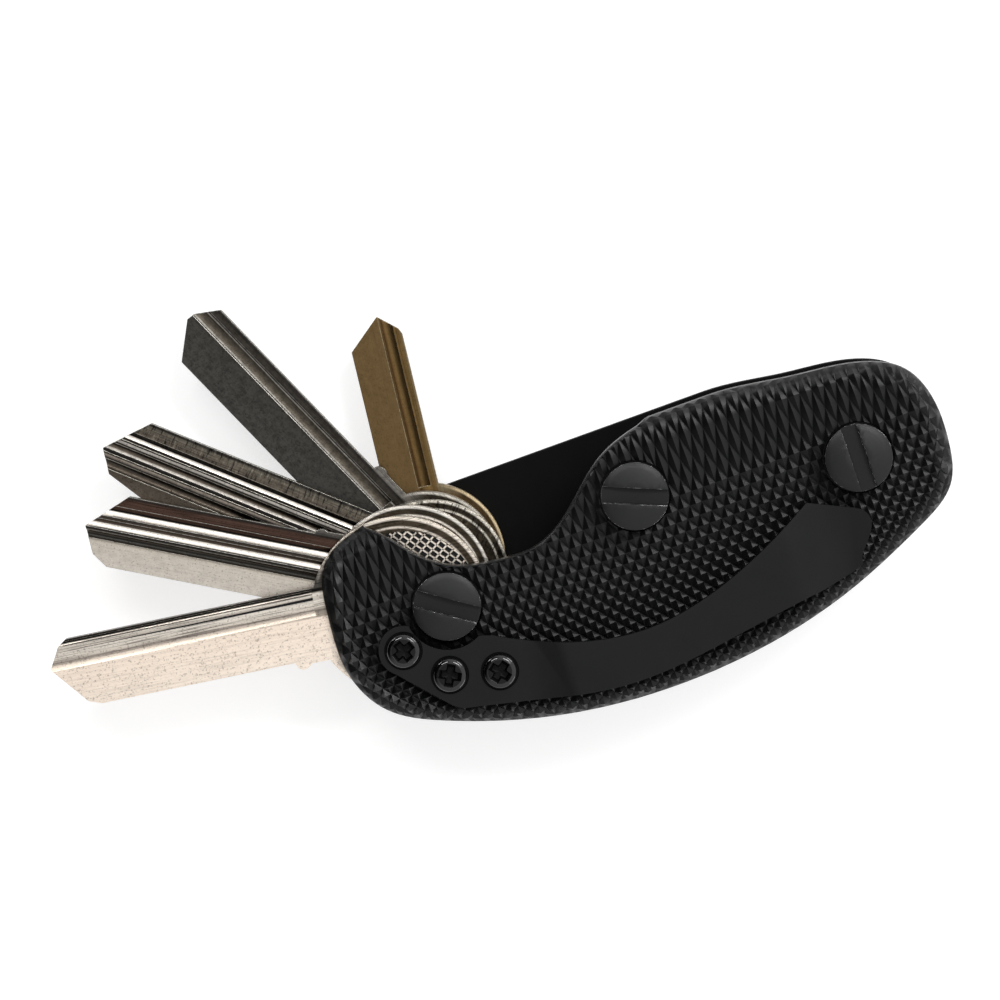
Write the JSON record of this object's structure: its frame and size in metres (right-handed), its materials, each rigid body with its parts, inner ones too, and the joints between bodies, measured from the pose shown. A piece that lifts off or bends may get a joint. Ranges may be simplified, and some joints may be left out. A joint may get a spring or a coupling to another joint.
{
  "type": "key organiser",
  "caption": "Pocket key organiser: keys fan out on a pivot post between two diamond-knurled plates, with slotted screws, a thumb bite and a pocket clip.",
  "frame": {"origin": "on the pivot post's axis, on the flat outer face of its rear head, which is the plane that the object lies on", "axes": "+X from the pivot post to the end post, +Y towards the straight top edge and the thumb bite, +Z through the thickness towards the clip side"},
  "size_m": [0.1233, 0.0686, 0.022],
  "materials": {
    "plate": "black hard-anodised, cut all over with a fine pyramid knurl, satin",
    "slotted_screw": "dark bead-blasted steel, satin",
    "post": "dark bead-blasted steel, satin",
    "spacer": "turned steel",
    "washer": "plain sheet, lightly polished",
    "clip": "black satin coating on spring steel",
    "clip_screw": "glossy black oxide",
    "key_1_metal": "bright nickel silver with fine speckle",
    "key_2_metal": "polished milled grooves above a speckled flat",
    "key_3_metal": "polished milled grooves, worn",
    "key_4_metal": "dark steel, lightly scratched",
    "key_5_metal": "worn brass"
  },
  "bodies": {
    "frame": {"front_plate": "plate", "rear_plate": "plate", "pivot_barrel": "post", "pivot_screw": "slotted_screw", "middle_barrel": "post", "middle_screw": "slotted_screw", "end_barrel": "post", "end_screw": "slotted_screw", "middle_spacer": "spacer", "end_spacer": "spacer", "key_washer_1": "washer", "key_washer_2": "washer", "key_washer_3": "washer", "key_washer_4": "washer", "key_washer_5": "washer", "key_washer_6": "washer", "clip_base": "clip", "clip_screw_1": "clip_screw", "clip_screw_2": "clip_screw", "clip_screw_3": "clip_screw"},
    "key_1_body": {"key_1": "key_1_metal"},
    "key_2_body": {"key_2": "key_2_metal"},
    "key_3_body": {"key_3": "key_3_metal"},
    "key_4_body": {"key_4": "key_4_metal"},
    "key_5_body": {"key_5": "key_5_metal"},
    "clip_arm_body": {"clip_arm": "clip"}
  },
  "joints": [
    {"name": "key_1_turn", "type": "hinge", "parent": "frame", "child": "key_1_body", "pos_m": [0, 0, 0.01], "axis": [0, 0, 1], "range_deg": [-141, 183]},
    {"name": "key_2_turn", "type": "hinge", "parent": "frame", "child": "key_2_body", "pos_m": [0, 0, 0.01], "axis": [0, 0, 1], "range_deg": [-118, 205]},
    {"name": "key_3_turn", "type": "hinge", "parent": "frame", "child": "key_3_body", "pos_m": [0, 0, 0.01], "axis": [0, 0, 1], "range_deg": [-104, 219]},
    {"name": "key_4_turn", "type": "hinge", "parent": "frame", "child": "key_4_body", "pos_m": [0, 0, 0.01], "axis": [0, 0, 1], "range_deg": [-84, 241]},
    {"name": "key_5_turn", "type": "hinge", "parent": "frame", "child": "key_5_body", "pos_m": [0, 0, 0.01], "axis": [0, 0, 1], "range_deg": [-60, 269]},
    {"name": "clip_flex", "type": "hinge", "parent": "frame", "child": "clip_arm_body", "pos_m": [0.009, -0.013, 0.0208], "axis": [0, -1, 0], "range_deg": [0, 4], "stiffness_Nm_per_rad": 4.5}
  ]
}
